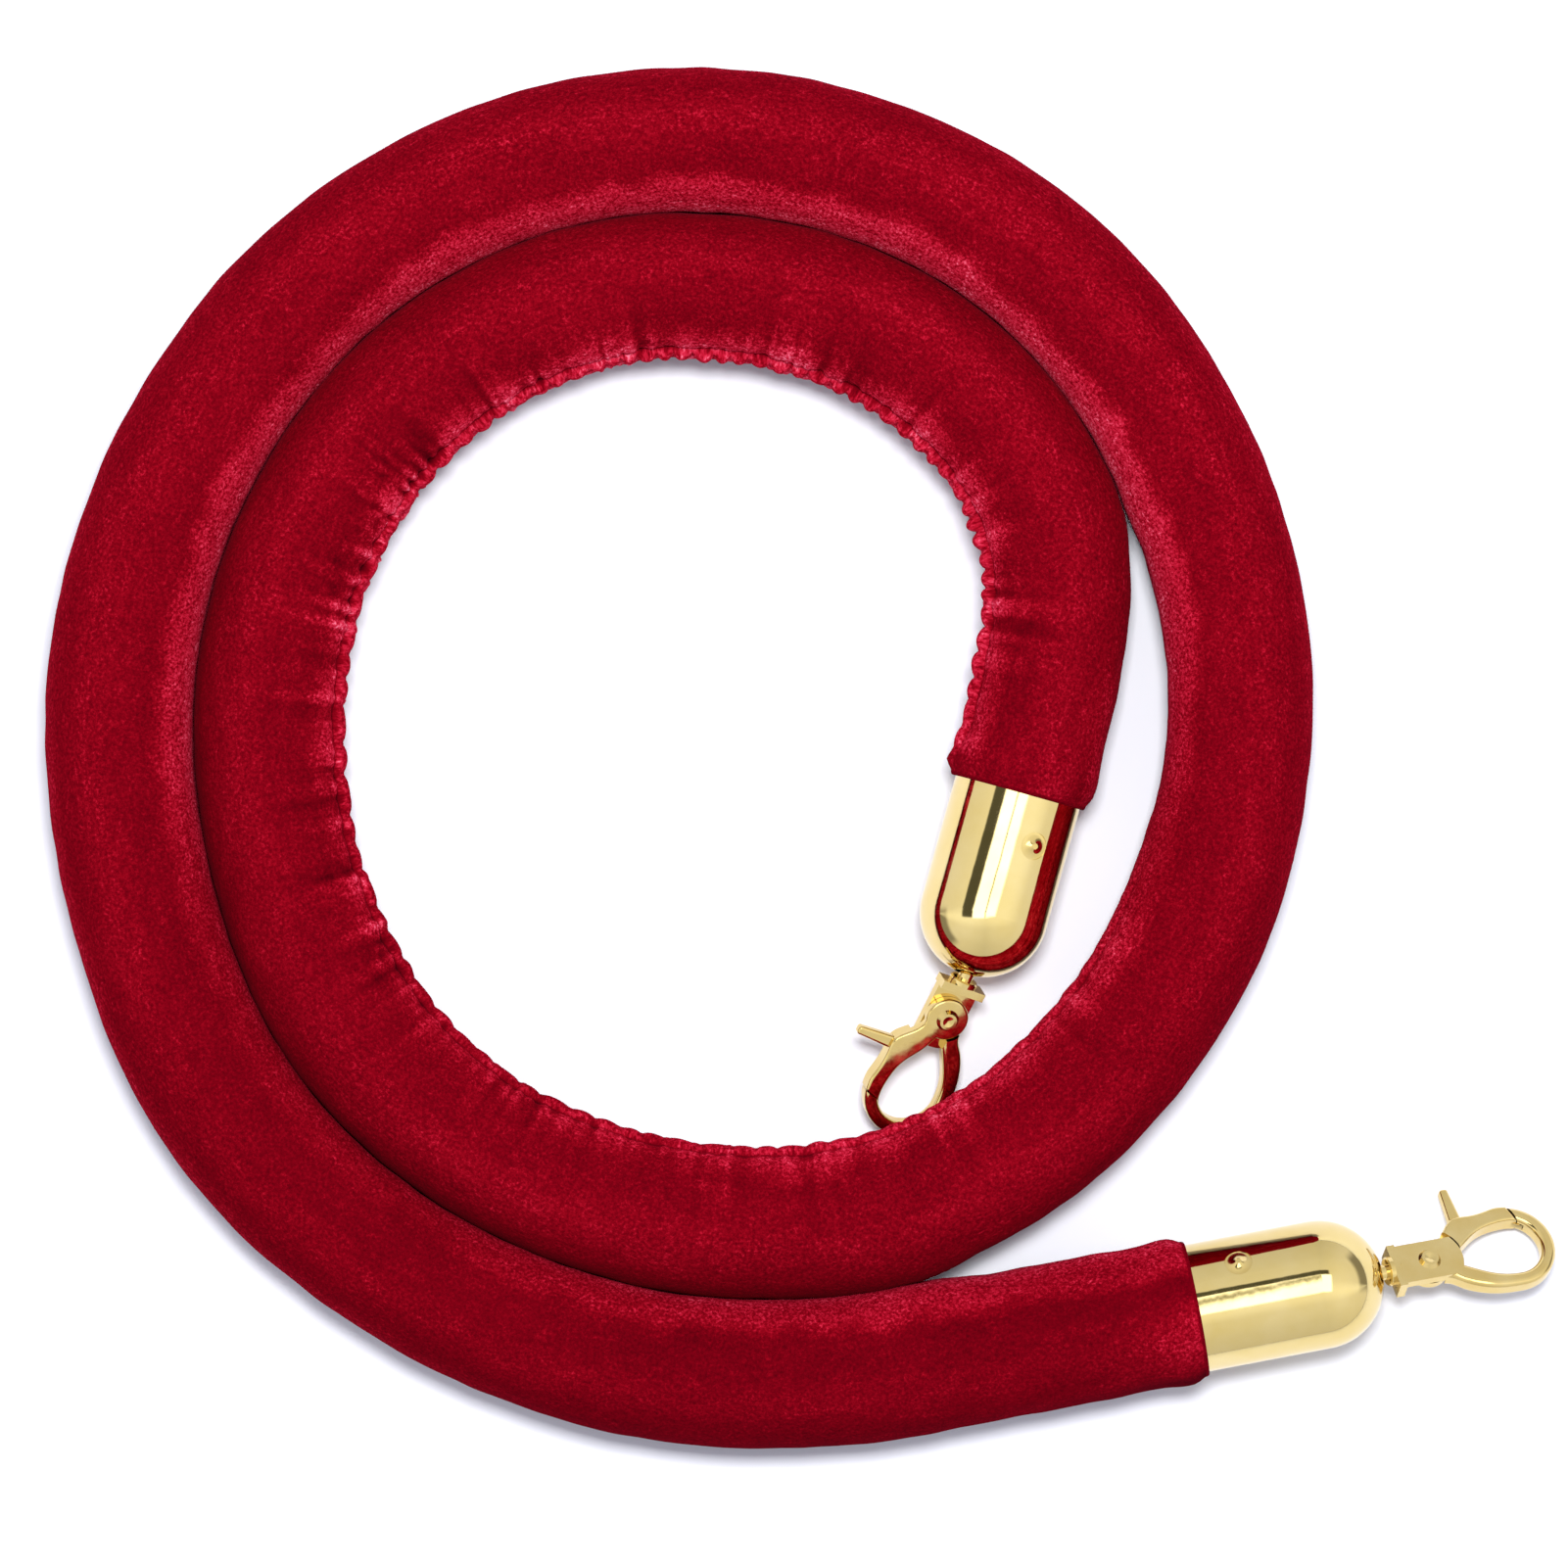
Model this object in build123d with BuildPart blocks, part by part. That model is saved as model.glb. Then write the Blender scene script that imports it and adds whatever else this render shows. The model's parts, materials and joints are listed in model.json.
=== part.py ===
from build123d import *
import math
import os

# Velvet barrier rope: a padded rope in a crimson velvet sleeve, laid flat in a loose
# spiral of nearly two turns, with a domed metal cap and a swivelling trigger hook on
# each end. Millimetres, +Z up, the floor at Z = 0, the origin under the middle of the
# whole object's box.

os.makedirs("parts", exist_ok=True)

# ---------------------------------------------------------------- driving dimensions
rope_dia = 32.0                 # outside of the velvet sleeve
sleeve_wall = 2.1               # velvet pile and its backing
fabric_gap = 0.1                # between the sleeve and the filler rod
hem_round = 1.4                 # rolled edge of each hem

cap_wall = 1.0                  # end cap, a pressed and plated shell as wide as the sleeve's bore
cap_bare = 28.0                 # straight part of the cap that the velvet leaves bare
cap_tucked = 12.0               # straight part of the cap under the velvet
plug_gap = 0.05                 # cap bore to the plug and to the squeezed filler
plug_start = -2.0               # along the cap axis from the velvet's edge
plug_short = 5.0                # how far the plug stops short of the dome
plug_tail_dia = 10.0            # dowel of the plug, glued up the middle of the filler
plug_tail_length = 14.0

screw_place = 11.2              # from the velvet's edge, along the cap
screw_head_dia = 5.9
screw_head_height = 1.7
screw_shank_dia = 2.9
screw_reach = 10.0
screw_seat_depth = 0.35         # flat spot in the cap under each head
screw_hole_gap = 0.05
recess_width = 0.7
recess_length = 3.2
recess_depth = 0.8

stud_dia = 3.4                  # swivel rivet through the top of the dome
stud_lean_gap = 0.25            # room in the dome's hole for the leaning rivet
stud_head_dia = 5.8
stud_head_height = 1.3
washer_dia = 6.8
washer_thickness = 0.8
washer_place = -2.4             # outer face, along the hook's axis from the dome's hole
collar_dia = 6.4
collar_place = 1.35
collar_thickness = 1.25
stud_clench = 0.5               # how far the rivet's clenched end spreads in the bridge

hook_thickness = 4.3
hook_gap = 0.1                  # between the two flat faces at the pivot
plate_width = 9.3
bridge_thickness = 1.8
bridge_width = 10.2
bridge_drop = 2.7               # below the hook's middle plane
hub_to_bridge = 1.85
plate_end_radius = 7.6
hook_reach = 40.0               # tip of the ring from the dome's hole
ring_outer_radius = 9.8
ring_wire = 3.1
nose_past_ring = 4.0            # end of the trigger's nose past the ring's centre
nose_gap = 0.2
wire_round = 1.2
hub_radius = 4.75
hub_gap = 0.35                  # round the hub and round the plate's end
tongue_length = 1.1
tongue_thickness = 1.3
tongue_lip = 0.9                # wire left outside the tongue's slot, the trigger's stop
tongue_gap = 0.15

lever_reach = 17.2              # thumb lever's tip from the hook's axis
lever_thickness = 2.3
lever_round = 0.7
trigger_round = 0.6

rivet_dia = 3.0
rivet_head_dia = 4.9
rivet_head_height = 0.9
rivet_rim = 0.6
rivet_dish = 0.35
rivet_fit = 0.05

spring_wire = 0.55
spring_coil_dia = 4.6
spring_pitch = 0.66
spring_turns = 2.0
spring_gap = 0.2

# ---------------------------------------------------------------- where the rope lies
rope_z = rope_dia / 2
rope_points = [
    (47.4, -6.5), (58.2, 32.3), (47.2, 68.2), (12, 96.5), (-36, 103.5), (-77, 86), (-104, 55),
    (-116, 17), (-113, -22), (-97, -58), (-68, -86), (-28, -100), (20, -102.3),
    (63, -83), (88, -42), (98, 8), (88, 59), (59, 105), (9, 133), (-49, 135),
    (-99, 111), (-133, 70), (-149.5, 20), (-145, -31), (-126, -79), (-87, -114),
    (-40, -133.5), (6, -135), (46, -126.4), (84.8, -119.0),
]
arc_share = 0.45                # of the shorter run, on each side of a corner

# name, end point, point before it, screws' turn from the top, hook's heading and spin
ends = [
    ("a", rope_points[0], rope_points[1], 26.0, 243.5, 158.0),
    ("b", rope_points[-1], rope_points[-2], 40.0, 9.0, -34.0),
]
hook_droop = 15.0               # hooks lie tipped down towards the floor


def runs_of(points):
    """Length of each straight run of the route."""
    return [math.dist(p, q) for p, q in zip(points, points[1:])]


def corner_radii(points):
    """Radius of each corner's arc, as large as its two runs allow."""
    runs = runs_of(points)
    radii = []
    for i in range(1, len(points) - 1):
        before = Vector(*points[i]) - Vector(*points[i - 1])
        after = Vector(*points[i + 1]) - Vector(*points[i])
        turn = math.radians(before.get_angle(after))
        radii.append(arc_share * min(runs[i - 1], runs[i]) / math.tan(turn / 2))
    return radii


def shortened(points, cut):
    """The route with the same amount taken off both ends."""
    runs = runs_of(points)
    first = Vector(*points[0]) + (Vector(*points[1]) - Vector(*points[0])) * (cut / runs[0])
    last = Vector(*points[-1]) + (Vector(*points[-2]) - Vector(*points[-1])) * (cut / runs[-1])
    return [(first.X, first.Y)] + points[1:-1] + [(last.X, last.Y)]


def rope_path(points, radii):
    """One smooth wire of straight runs and tangent arcs at the rope's height."""
    with BuildLine() as path:
        FilletPolyline(*[(x, y, rope_z) for x, y in points], radius=radii)
    return path.wires()[0]


def write(part, name):
    """Label a finished piece and write its STEP file."""
    part.label = name
    export_step(part, f"parts/{name}.step")


route_radii = corner_radii(rope_points)
print("runs", [round(r, 1) for r in runs_of(rope_points)])
print("corner radii", [round(r, 1) for r in route_radii])

# ---------------------------------------------------------------- velvet sleeve
sleeve_line = rope_path(rope_points, route_radii)


def is_hem(edge):
    """True for the outer circle at either end of the sleeve."""
    if edge.geom_type != GeomType.CIRCLE or abs(edge.radius - rope_dia / 2) > 0.01:
        return False
    return min((edge.arc_center - sleeve_line @ end).length for end in (0, 1)) < 0.01


with BuildPart() as velvet_sleeve:
    with BuildSketch(Plane(sleeve_line @ 0, z_dir=sleeve_line % 0)):
        Circle(rope_dia / 2)
        Circle(rope_dia / 2 - sleeve_wall, mode=Mode.SUBTRACT)
    sweep(path=sleeve_line)
    hems = velvet_sleeve.edges().filter_by(is_hem)
    fillet(hems, hem_round)
write(velvet_sleeve.part, "velvet_sleeve")
sleeve_section = math.pi * ((rope_dia / 2) ** 2 - (rope_dia / 2 - sleeve_wall) ** 2)
print("rope length", round(sleeve_line.length, 1))
print("sleeve volume over section x length",
      round(velvet_sleeve.part.volume / (sleeve_section * sleeve_line.length), 4))

# ---------------------------------------------------------------- filler rod
cap_radius = rope_dia / 2 - sleeve_wall
cap_bore = cap_radius - cap_wall
core_radius = cap_radius - fabric_gap
core_line = rope_path(shortened(rope_points, cap_tucked + fabric_gap), route_radii)

with BuildPart() as filler_rod:
    with BuildSketch(Plane(core_line @ 0, z_dir=core_line % 0)):
        Circle(core_radius)
    sweep(path=core_line)
    for start, direction in ((core_line @ 0, core_line % 0), (core_line @ 1, -(core_line % 1))):
        with BuildSketch(Plane(start, z_dir=-direction)):
            Circle(cap_bore - plug_gap)
        extrude(amount=cap_tucked + fabric_gap + plug_start)
        tail_depth = plug_tail_length - (cap_tucked + fabric_gap + plug_start)
        with BuildSketch(Plane(start + direction * tail_depth, z_dir=-direction)):
            Circle(plug_tail_dia / 2 + plug_gap)
        extrude(amount=plug_tail_length, mode=Mode.SUBTRACT)
write(filler_rod.part, "filler_rod")


# ---------------------------------------------------------------- one end's hardware
# Each piece is made once, lying along +X with its datum at the origin, and is then
# placed at both ends by a plane. The cap's datum is the velvet's edge, the hook's is
# the hole in the dome.
lean = math.radians(hook_droop)
seat_radius = cap_radius - screw_seat_depth
screw_sides = (Plane((screw_place, 0, 0), x_dir=(1, 0, 0), z_dir=(0, 0, 1)),
               Plane((screw_place, 0, 0), x_dir=(1, 0, 0), z_dir=(0, 0, -1)))


def turned(points):
    """Revolve a closed outline of (along, out) points about the X axis."""
    with BuildSketch() as profile:
        with BuildLine():
            Polyline(*points, close=True)
        make_face()
    revolve(profile.sketch, axis=Axis.X)


with BuildPart() as end_cap:
    dome_top = cap_bare + cap_radius
    with BuildSketch():
        with BuildLine():
            Polyline((cap_bare, cap_bore), (-cap_tucked, cap_bore), (-cap_tucked, cap_radius),
                     (cap_bare, cap_radius))
            CenterArc((cap_bare, 0), cap_radius, 0, 90)
            Line((dome_top, 0), (dome_top - cap_wall, 0))
            CenterArc((cap_bare, 0), cap_bore, 0, 90)
        make_face()
    revolve(axis=Axis.X)
    hole_radius = stud_dia / 2 / math.cos(lean) + cap_wall / 2 * math.tan(lean) + stud_lean_gap
    with BuildSketch(Plane.YZ.offset(cap_bare)):
        Circle(hole_radius)
    extrude(amount=cap_radius * 1.2, mode=Mode.SUBTRACT)
    for side_plane in screw_sides:
        with BuildSketch(side_plane.offset(seat_radius)):
            Circle(screw_head_dia / 2 + screw_hole_gap)
        extrude(amount=cap_wall, mode=Mode.SUBTRACT)
        with BuildSketch(side_plane.offset(cap_bore / 2)):
            Circle(screw_shank_dia / 2 + screw_hole_gap)
        extrude(amount=cap_radius, mode=Mode.SUBTRACT)

with BuildPart() as core_plug:
    plug_radius = cap_bore - plug_gap
    tail_radius = plug_tail_dia / 2
    tail_end = plug_start - plug_tail_length
    plug_end = cap_bare - plug_short
    turned([(tail_end, 0), (tail_end, tail_radius - 1), (tail_end + 1, tail_radius),
            (plug_start, tail_radius), (plug_start, plug_radius), (plug_end - 1, plug_radius),
            (plug_end, plug_radius - 1), (plug_end, 0)])
    for side_plane in screw_sides:
        with BuildSketch(side_plane.offset(seat_radius - screw_reach)):
            Circle(screw_shank_dia / 2)
        extrude(amount=screw_reach, mode=Mode.SUBTRACT)

cap_screws = []
for side_plane in screw_sides:
    with BuildPart() as cap_screw:
        head_radius = screw_head_dia / 2
        head_arc = (head_radius ** 2 + screw_head_height ** 2) / (2 * screw_head_height)
        head_plane = Plane(side_plane.origin + side_plane.z_dir * seat_radius,
                           x_dir=side_plane.x_dir, z_dir=-side_plane.y_dir)
        with BuildSketch(head_plane):
            with BuildLine():
                Polyline((0, screw_head_height), (0, -screw_reach),
                         (screw_shank_dia / 2, 1 - screw_reach), (screw_shank_dia / 2, 0),
                         (head_radius, 0))
                RadiusArc((head_radius, 0), (0, screw_head_height), head_arc)
            make_face()
        revolve(axis=Axis(head_plane.origin, side_plane.z_dir))
        with BuildSketch(side_plane.offset(seat_radius + screw_head_height - recess_depth)):
            Rectangle(recess_length, recess_width)
            Rectangle(recess_width, recess_length)
        extrude(amount=screw_head_height, mode=Mode.SUBTRACT)
    cap_screws.append(cap_screw.part)

# ---------------------------------------------------------------- swivel
shank_radius = stud_dia / 2
washer_inner = washer_place - washer_thickness
collar_outer = collar_place + collar_thickness
bridge_end = collar_outer + bridge_thickness
pivot_place = bridge_end + hub_to_bridge + hub_radius

with BuildPart() as swivel_rivet:
    stud_head = stud_head_dia / 2
    head_end = washer_inner - stud_head_height
    turned([(head_end, 0), (head_end, stud_head - 0.5), (head_end + 0.5, stud_head),
            (washer_inner, stud_head), (washer_inner, shank_radius),
            (bridge_end - stud_clench, shank_radius), (bridge_end, shank_radius + stud_clench),
            (bridge_end, 0)])

with BuildPart() as swivel_washer:
    turned([(washer_inner, shank_radius), (washer_inner, washer_dia / 2),
            (washer_place, washer_dia / 2), (washer_place, shank_radius)])

with BuildPart() as swivel_collar:
    turned([(collar_place, shank_radius), (collar_place, collar_dia / 2 - 0.3),
            (collar_place + 0.3, collar_dia / 2), (collar_outer, collar_dia / 2),
            (collar_outer, shank_radius)])

# ---------------------------------------------------------------- hook
# Seen from the plate's side, thumb lever upwards (+Y). Sketches of the hook have their
# origin at the pivot.
half = hook_thickness / 2
pivot = Plane((pivot_place, 0, 0), x_dir=(1, 0, 0), z_dir=(0, 0, 1))
ring_centre = hook_reach - pivot_place - ring_outer_radius
ring_inner_radius = ring_outer_radius - ring_wire
nose_radius = ring_centre + nose_past_ring
plate_side = plate_width / 2
plate_corner = math.sqrt(plate_end_radius ** 2 - plate_side ** 2)
bridge_back = collar_outer - pivot_place
bridge_front = bridge_end - pivot_place


def ring_point(radius, reach):
    """Upper point of a ring circle that is this far from the pivot."""
    x = (reach ** 2 - radius ** 2 + ring_centre ** 2) / (2 * ring_centre)
    return (x, math.sqrt(reach ** 2 - x ** 2))


def is_ring_edge(edge):
    """True for the long curved edges of the ring and its arm."""
    if edge.geom_type == GeomType.BSPLINE:
        return True
    radii = (ring_outer_radius, ring_inner_radius)
    return edge.geom_type == GeomType.CIRCLE and min(abs(edge.radius - r) for r in radii) < 0.01


def tongue_face(reach, outer, thickness):
    """Outline of the thin tongue between nose and ring, or of the slot that takes it."""
    low = nose_radius - 1.5
    with BuildSketch(pivot.offset(-thickness / 2)) as outline:
        with BuildLine():
            Polyline(ring_point(outer, low), ring_point(outer, reach),
                     ring_point(ring_inner_radius, reach), ring_point(ring_inner_radius, low),
                     close=True)
        make_face()
    return outline.sketch


with BuildPart() as hook_body:
    body_nose = nose_radius + nose_gap
    outer_end = ring_point(ring_outer_radius, body_nose)
    inner_end = ring_point(ring_inner_radius, body_nose)
    with BuildSketch(pivot.offset(-half)):
        with BuildLine():
            Spline((2.6, -plate_side), (5.9, -6.4), (10.6, -8.7), (ring_centre, -ring_outer_radius),
                   tangents=((1, -0.1), (1, 0)))
            ThreePointArc((ring_centre, -ring_outer_radius), (ring_centre + ring_outer_radius, 0),
                          outer_end)
            RadiusArc(outer_end, inner_end, body_nose)
            ThreePointArc(inner_end, (ring_centre + ring_inner_radius, 0),
                          (ring_centre, -ring_inner_radius))
            Spline((ring_centre, -ring_inner_radius), (12.6, -5.3), (6.9, -2.2),
                   tangents=((-1, 0), (-1, 0.55)))
            Polyline((6.9, -2.2), (2.6, -2.2), (2.6, -plate_side))
        make_face()
    extrude(amount=hook_thickness)
    rims = hook_body.faces().filter_by(Axis.Z).edges()
    fillet(rims.filter_by(is_ring_edge), wire_round)
    with BuildSketch(pivot.offset(-half)):
        Circle(hub_radius + hub_gap)
    extrude(amount=half + hook_gap / 2, mode=Mode.SUBTRACT)
    with BuildSketch(pivot.offset(hook_gap / 2)):
        with BuildLine():
            Polyline((plate_corner, plate_side), (bridge_back, plate_side),
                     (bridge_back, -plate_side), (plate_corner, -plate_side))
            ThreePointArc((plate_corner, -plate_side), (plate_end_radius, 0),
                          (plate_corner, plate_side))
        make_face()
    extrude(amount=half - hook_gap / 2)
    with BuildSketch(pivot.offset(-bridge_drop)):
        with Locations(((bridge_back + bridge_front) / 2, 0)):
            Rectangle(bridge_thickness, bridge_width)
    extrude(amount=bridge_drop + half)
    slot_height = tongue_thickness + 2 * tongue_gap
    slot = tongue_face(nose_radius + tongue_length + tongue_gap,
                       ring_outer_radius - tongue_lip, slot_height)
    extrude(slot, amount=slot_height, mode=Mode.SUBTRACT)
    with BuildSketch(pivot.offset(-half)):
        Circle(rivet_dia / 2)
    extrude(amount=hook_thickness * 1.5, mode=Mode.SUBTRACT)
    with BuildSketch() as clenched_hole:
        with BuildLine():
            Polyline((collar_outer, 0), (collar_outer, shank_radius),
                     (bridge_end - stud_clench, shank_radius),
                     (bridge_end, shank_radius + stud_clench), (bridge_end, 0), close=True)
        make_face()
    revolve(axis=Axis.X, mode=Mode.SUBTRACT)

with BuildPart() as lever:
    with BuildSketch(pivot.offset(-lever_thickness / 2)):
        with BuildLine():
            Polyline((7.9, 7.6), (8.3, lever_reach), (10.2, lever_reach), (10.9, 7.6), close=True)
        make_face()
    extrude(amount=lever_thickness)
    tip_corners = lever.edges().filter_by(Axis.Z).group_by(Axis.Y)[-1]
    fillet(tip_corners, lever_round)
    lever_rims = lever.faces().filter_by(Axis.Z).edges()
    fillet(lever_rims, trigger_round)

with BuildPart() as hook_trigger:
    outer_tip = ring_point(ring_outer_radius, nose_radius)
    inner_tip = ring_point(ring_inner_radius, nose_radius)
    hub_top = (hub_radius * math.cos(math.radians(70)), hub_radius * math.sin(math.radians(70)))
    hub_low = (hub_radius * math.cos(math.radians(5)), hub_radius * math.sin(math.radians(5)))
    with BuildSketch(pivot.offset(-half)):
        with BuildLine():
            Spline(hub_top, (4.6, 5.7), (8.2, 9.0), (12.2, 9.1), (ring_centre - 2.6, 9.6),
                   outer_tip, tangents=((1, -0.3), (1, -0.22)))
            RadiusArc(outer_tip, inner_tip, nose_radius)
            Spline(inner_tip, (ring_centre - 1.6, 6.1), (12.4, 4.7), (8.6, 2.2), hub_low,
                   tangents=((-1, 0.3), (-0.9, -0.35)))
            ThreePointArc(hub_low, (-hub_radius, 0), hub_top)
        make_face()
    extrude(amount=hook_thickness)
    rims = hook_trigger.faces().filter_by(Axis.Z).edges()
    fillet(rims, trigger_round)
    add(lever.part)
    with BuildSketch(pivot.offset(-hook_gap / 2)):
        Circle(plate_end_radius + hub_gap)
    extrude(amount=hook_thickness, mode=Mode.SUBTRACT)
    tongue = tongue_face(nose_radius + tongue_length,
                         ring_outer_radius - tongue_lip - tongue_gap, tongue_thickness)
    extrude(tongue, amount=tongue_thickness)
    with BuildSketch(pivot.offset(-half)):
        Circle(rivet_dia / 2 + rivet_fit)
    extrude(amount=hook_thickness, mode=Mode.SUBTRACT)
    pocket_depth = spring_pitch * spring_turns + spring_wire + spring_gap
    with BuildSketch(pivot.offset(-hook_gap / 2 - pocket_depth)):
        Circle((spring_coil_dia + spring_wire) / 2 + spring_gap)
    extrude(amount=pocket_depth, mode=Mode.SUBTRACT)

with BuildPart() as pivot_rivet:
    rivet_head = rivet_head_dia / 2
    rivet_end = half + rivet_head_height
    with BuildSketch(Plane.XZ) as rivet_profile:
        with BuildLine():
            Polyline((0, -rivet_end + rivet_dish), (rivet_head - 2 * rivet_rim, -rivet_end),
                     (rivet_head - rivet_rim, -rivet_end), (rivet_head, -half), (rivet_dia / 2, -half),
                     (rivet_dia / 2, half), (rivet_head, half), (rivet_head - rivet_rim, rivet_end),
                     (rivet_head - 2 * rivet_rim, rivet_end), (0, rivet_end - rivet_dish), close=True)
        make_face()
    revolve(axis=Axis.Z)
pivot_rivet_part = pivot_rivet.part.moved(Location(pivot))

with BuildPart() as trigger_spring:
    coil_low = -hook_gap / 2 - spring_pitch * spring_turns - spring_wire / 2 - spring_gap / 2
    with BuildLine():
        Helix(spring_pitch, spring_pitch * spring_turns, spring_coil_dia / 2)
    with BuildSketch(Plane((spring_coil_dia / 2, 0, 0), x_dir=(1, 0, 0), z_dir=(0, 1, 0))):
        Circle(spring_wire / 2)
    sweep(is_frenet=True)
trigger_spring_part = trigger_spring.part.moved(Location(pivot.offset(coil_low)))

# ---------------------------------------------------------------- both ends put in place
cap_pieces = {
    "end_cap": end_cap.part,
    "core_plug": core_plug.part,
    "cap_screw_upper": cap_screws[0],
    "cap_screw_lower": cap_screws[1],
}
hook_pieces = {
    "swivel_rivet": swivel_rivet.part,
    "swivel_washer": swivel_washer.part,
    "swivel_collar": swivel_collar.part,
    "hook_body": hook_body.part,
    "hook_trigger": hook_trigger.part,
    "pivot_rivet": pivot_rivet_part,
    "trigger_spring": trigger_spring_part,
}


def heading(degrees):
    """Level unit vector that points this way, counter-clockwise from +X."""
    return Vector(math.cos(math.radians(degrees)), math.sin(math.radians(degrees)), 0)


for end_name, end_point, before_end, screw_turn, hook_heading, hook_spin in ends:
    up = Vector(0, 0, 1)
    cap_axis = (Vector(*end_point) - Vector(*before_end)).normalized()
    velvet_edge = Vector(*end_point, rope_z)
    screws_up = up.rotate(Axis((0, 0, 0), cap_axis), -screw_turn)
    cap_frame = Plane(velvet_edge, x_dir=cap_axis, z_dir=screws_up)

    dome_hole = velvet_edge + cap_axis * (cap_bare + cap_radius - cap_wall / 2)
    hook_axis = heading(hook_heading) * math.cos(lean) - up * math.sin(lean)
    plate_up = heading(hook_heading) * math.sin(lean) + up * math.cos(lean)
    plate_normal = plate_up.rotate(Axis((0, 0, 0), hook_axis), hook_spin)
    hook_frame = Plane(dome_hole, x_dir=hook_axis, z_dir=plate_normal)

    for frame, pieces in ((cap_frame, cap_pieces), (hook_frame, hook_pieces)):
        for piece_name, piece in pieces.items():
            write(frame.from_local_coords(piece), f"{piece_name}_{end_name}")
    print(end_name, "dome hole", dome_hole, "hook axis", hook_axis)
    print(end_name, "trigger pivot", dome_hole + hook_axis * pivot_place, "plate normal", plate_normal)
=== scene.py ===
# %% [markdown]
# # A velvet barrier rope, coiled on a table
# The real object is a stock museum rope: a thick cotton core in a crimson velvet sleeve, with a
# plated cap and a swivelling snap hook screwed on at each end. The metal pieces come from the
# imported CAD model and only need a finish. The velvet is made here, because cloth lives from
# small things that a plain tube has none of: its gathered seam, its hems and its nap.

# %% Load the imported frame
import json
import math

import bpy
import numpy as np
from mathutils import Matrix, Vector, noise


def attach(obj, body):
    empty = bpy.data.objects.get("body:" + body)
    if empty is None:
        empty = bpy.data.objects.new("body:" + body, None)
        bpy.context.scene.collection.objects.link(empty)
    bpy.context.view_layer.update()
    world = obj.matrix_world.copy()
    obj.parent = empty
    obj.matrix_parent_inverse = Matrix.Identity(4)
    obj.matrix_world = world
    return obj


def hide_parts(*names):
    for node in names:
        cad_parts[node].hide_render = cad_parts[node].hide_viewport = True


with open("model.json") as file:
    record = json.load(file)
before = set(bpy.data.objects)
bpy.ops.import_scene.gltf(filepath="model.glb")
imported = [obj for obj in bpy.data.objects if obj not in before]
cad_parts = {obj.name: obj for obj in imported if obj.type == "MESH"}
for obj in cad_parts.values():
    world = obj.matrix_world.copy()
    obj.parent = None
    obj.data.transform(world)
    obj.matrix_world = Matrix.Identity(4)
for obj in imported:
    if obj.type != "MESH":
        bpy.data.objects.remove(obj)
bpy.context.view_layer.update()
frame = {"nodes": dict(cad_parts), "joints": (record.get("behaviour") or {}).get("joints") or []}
scene = bpy.context.scene
MM = 0.001

# %% [markdown]
# ## Camera
# The coil lies flat and is looked at from straight above, so the camera hangs over it and looks
# down. An orthographic camera would do this too, but it shows no depth at all. This one stands
# well back with a long lens instead: a short lens close by would make the far sides of the thick
# rope lean outwards.

# %% Camera
VIEW_MIDDLE = (-3.3, -5.6)      # mm, the point of the table under the camera
VIEW_WIDTH = 338.6              # mm, what the frame takes in at the rope's middle
CAMERA_HEIGHT = 1500.0          # mm
NEAREST_SEEN = 0.05             # m
ROPE_Z = 16.0                   # mm, the rope's middle line above the table

lens = bpy.data.cameras.new("studio_camera")
lens.sensor_width = 36.0
lens.lens = lens.sensor_width * (CAMERA_HEIGHT - ROPE_Z) / VIEW_WIDTH
lens.clip_start = NEAREST_SEEN
camera = bpy.data.objects.new("studio_camera", lens)
camera.location = (VIEW_MIDDLE[0] * MM, VIEW_MIDDLE[1] * MM, CAMERA_HEIGHT * MM)
scene.collection.objects.link(camera)
scene.camera = camera
scene.view_settings.view_transform = "Standard"
print("lens", round(lens.lens, 1), "mm")

# %% [markdown]
# ## Colours and nodes
# Colours are written as the sRGB hex values that a paint chart would give, and one function
# turns them to the linear numbers that shaders work in. Nodes could be wired by hand in the
# shader editor, but here one small function adds a node with its settings and links, so that
# each material below reads as a list of what it is made of.


# %% One helper for colours
def linear(hex_code):
    """Linear RGBA of an sRGB hex colour such as "8c0618"."""
    parts = [int(hex_code[i:i + 2], 16) / 255 for i in (0, 2, 4)]
    return tuple(((c + 0.055) / 1.055) ** 2.4 if c > 0.04045 else c / 12.92 for c in parts) + (1.0,)


print("softbox white", [round(part, 3) for part in linear("ffffff")])


# %% Helpers for nodes and materials
def add_node(tree, kind, links=None, **settings):
    """Add one node. links maps an input's name or number to a value, an output or a node."""
    made = tree.nodes.new(kind)
    for name, value in settings.items():
        setattr(made, name, value)
    for socket, value in (links or {}).items():
        if isinstance(value, bpy.types.Node):
            value = value.outputs[0]
        if isinstance(value, bpy.types.NodeSocket):
            tree.links.new(value, made.inputs[socket])
        else:
            made.inputs[socket].default_value = value
    return made


def new_material(name):
    """An empty node material and its tree."""
    material = bpy.data.materials.new(name)
    material.use_nodes = True
    material.node_tree.nodes.clear()
    return material, material.node_tree


def finish_material(tree, shader):
    """Send the shader to the material's output."""
    add_node(tree, "ShaderNodeOutputMaterial", {"Surface": shader})


def fill_stops(ramp, stops):
    """Fill a colour ramp with (place, hex colour) stops, in rising order."""
    while len(ramp.elements) < len(stops):
        ramp.elements.new(0.5)
    for element, (place, hex_code) in zip(ramp.elements, stops):
        element.position = place
        element.color = linear(hex_code)


# %% [markdown]
# ## Table
# The rope lies on a seamless sheet of matt white paper, as in any product studio. A modelled
# sweep of paper would only show in side views, so one large flat square is enough. It is a
# touch bluish, because daylight-white paper is.

# %% Table
FLOOR_HALF = 3.0                # m
FLOOR_Z = -0.0002               # m, a hair below the rope so that the two never flicker

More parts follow.
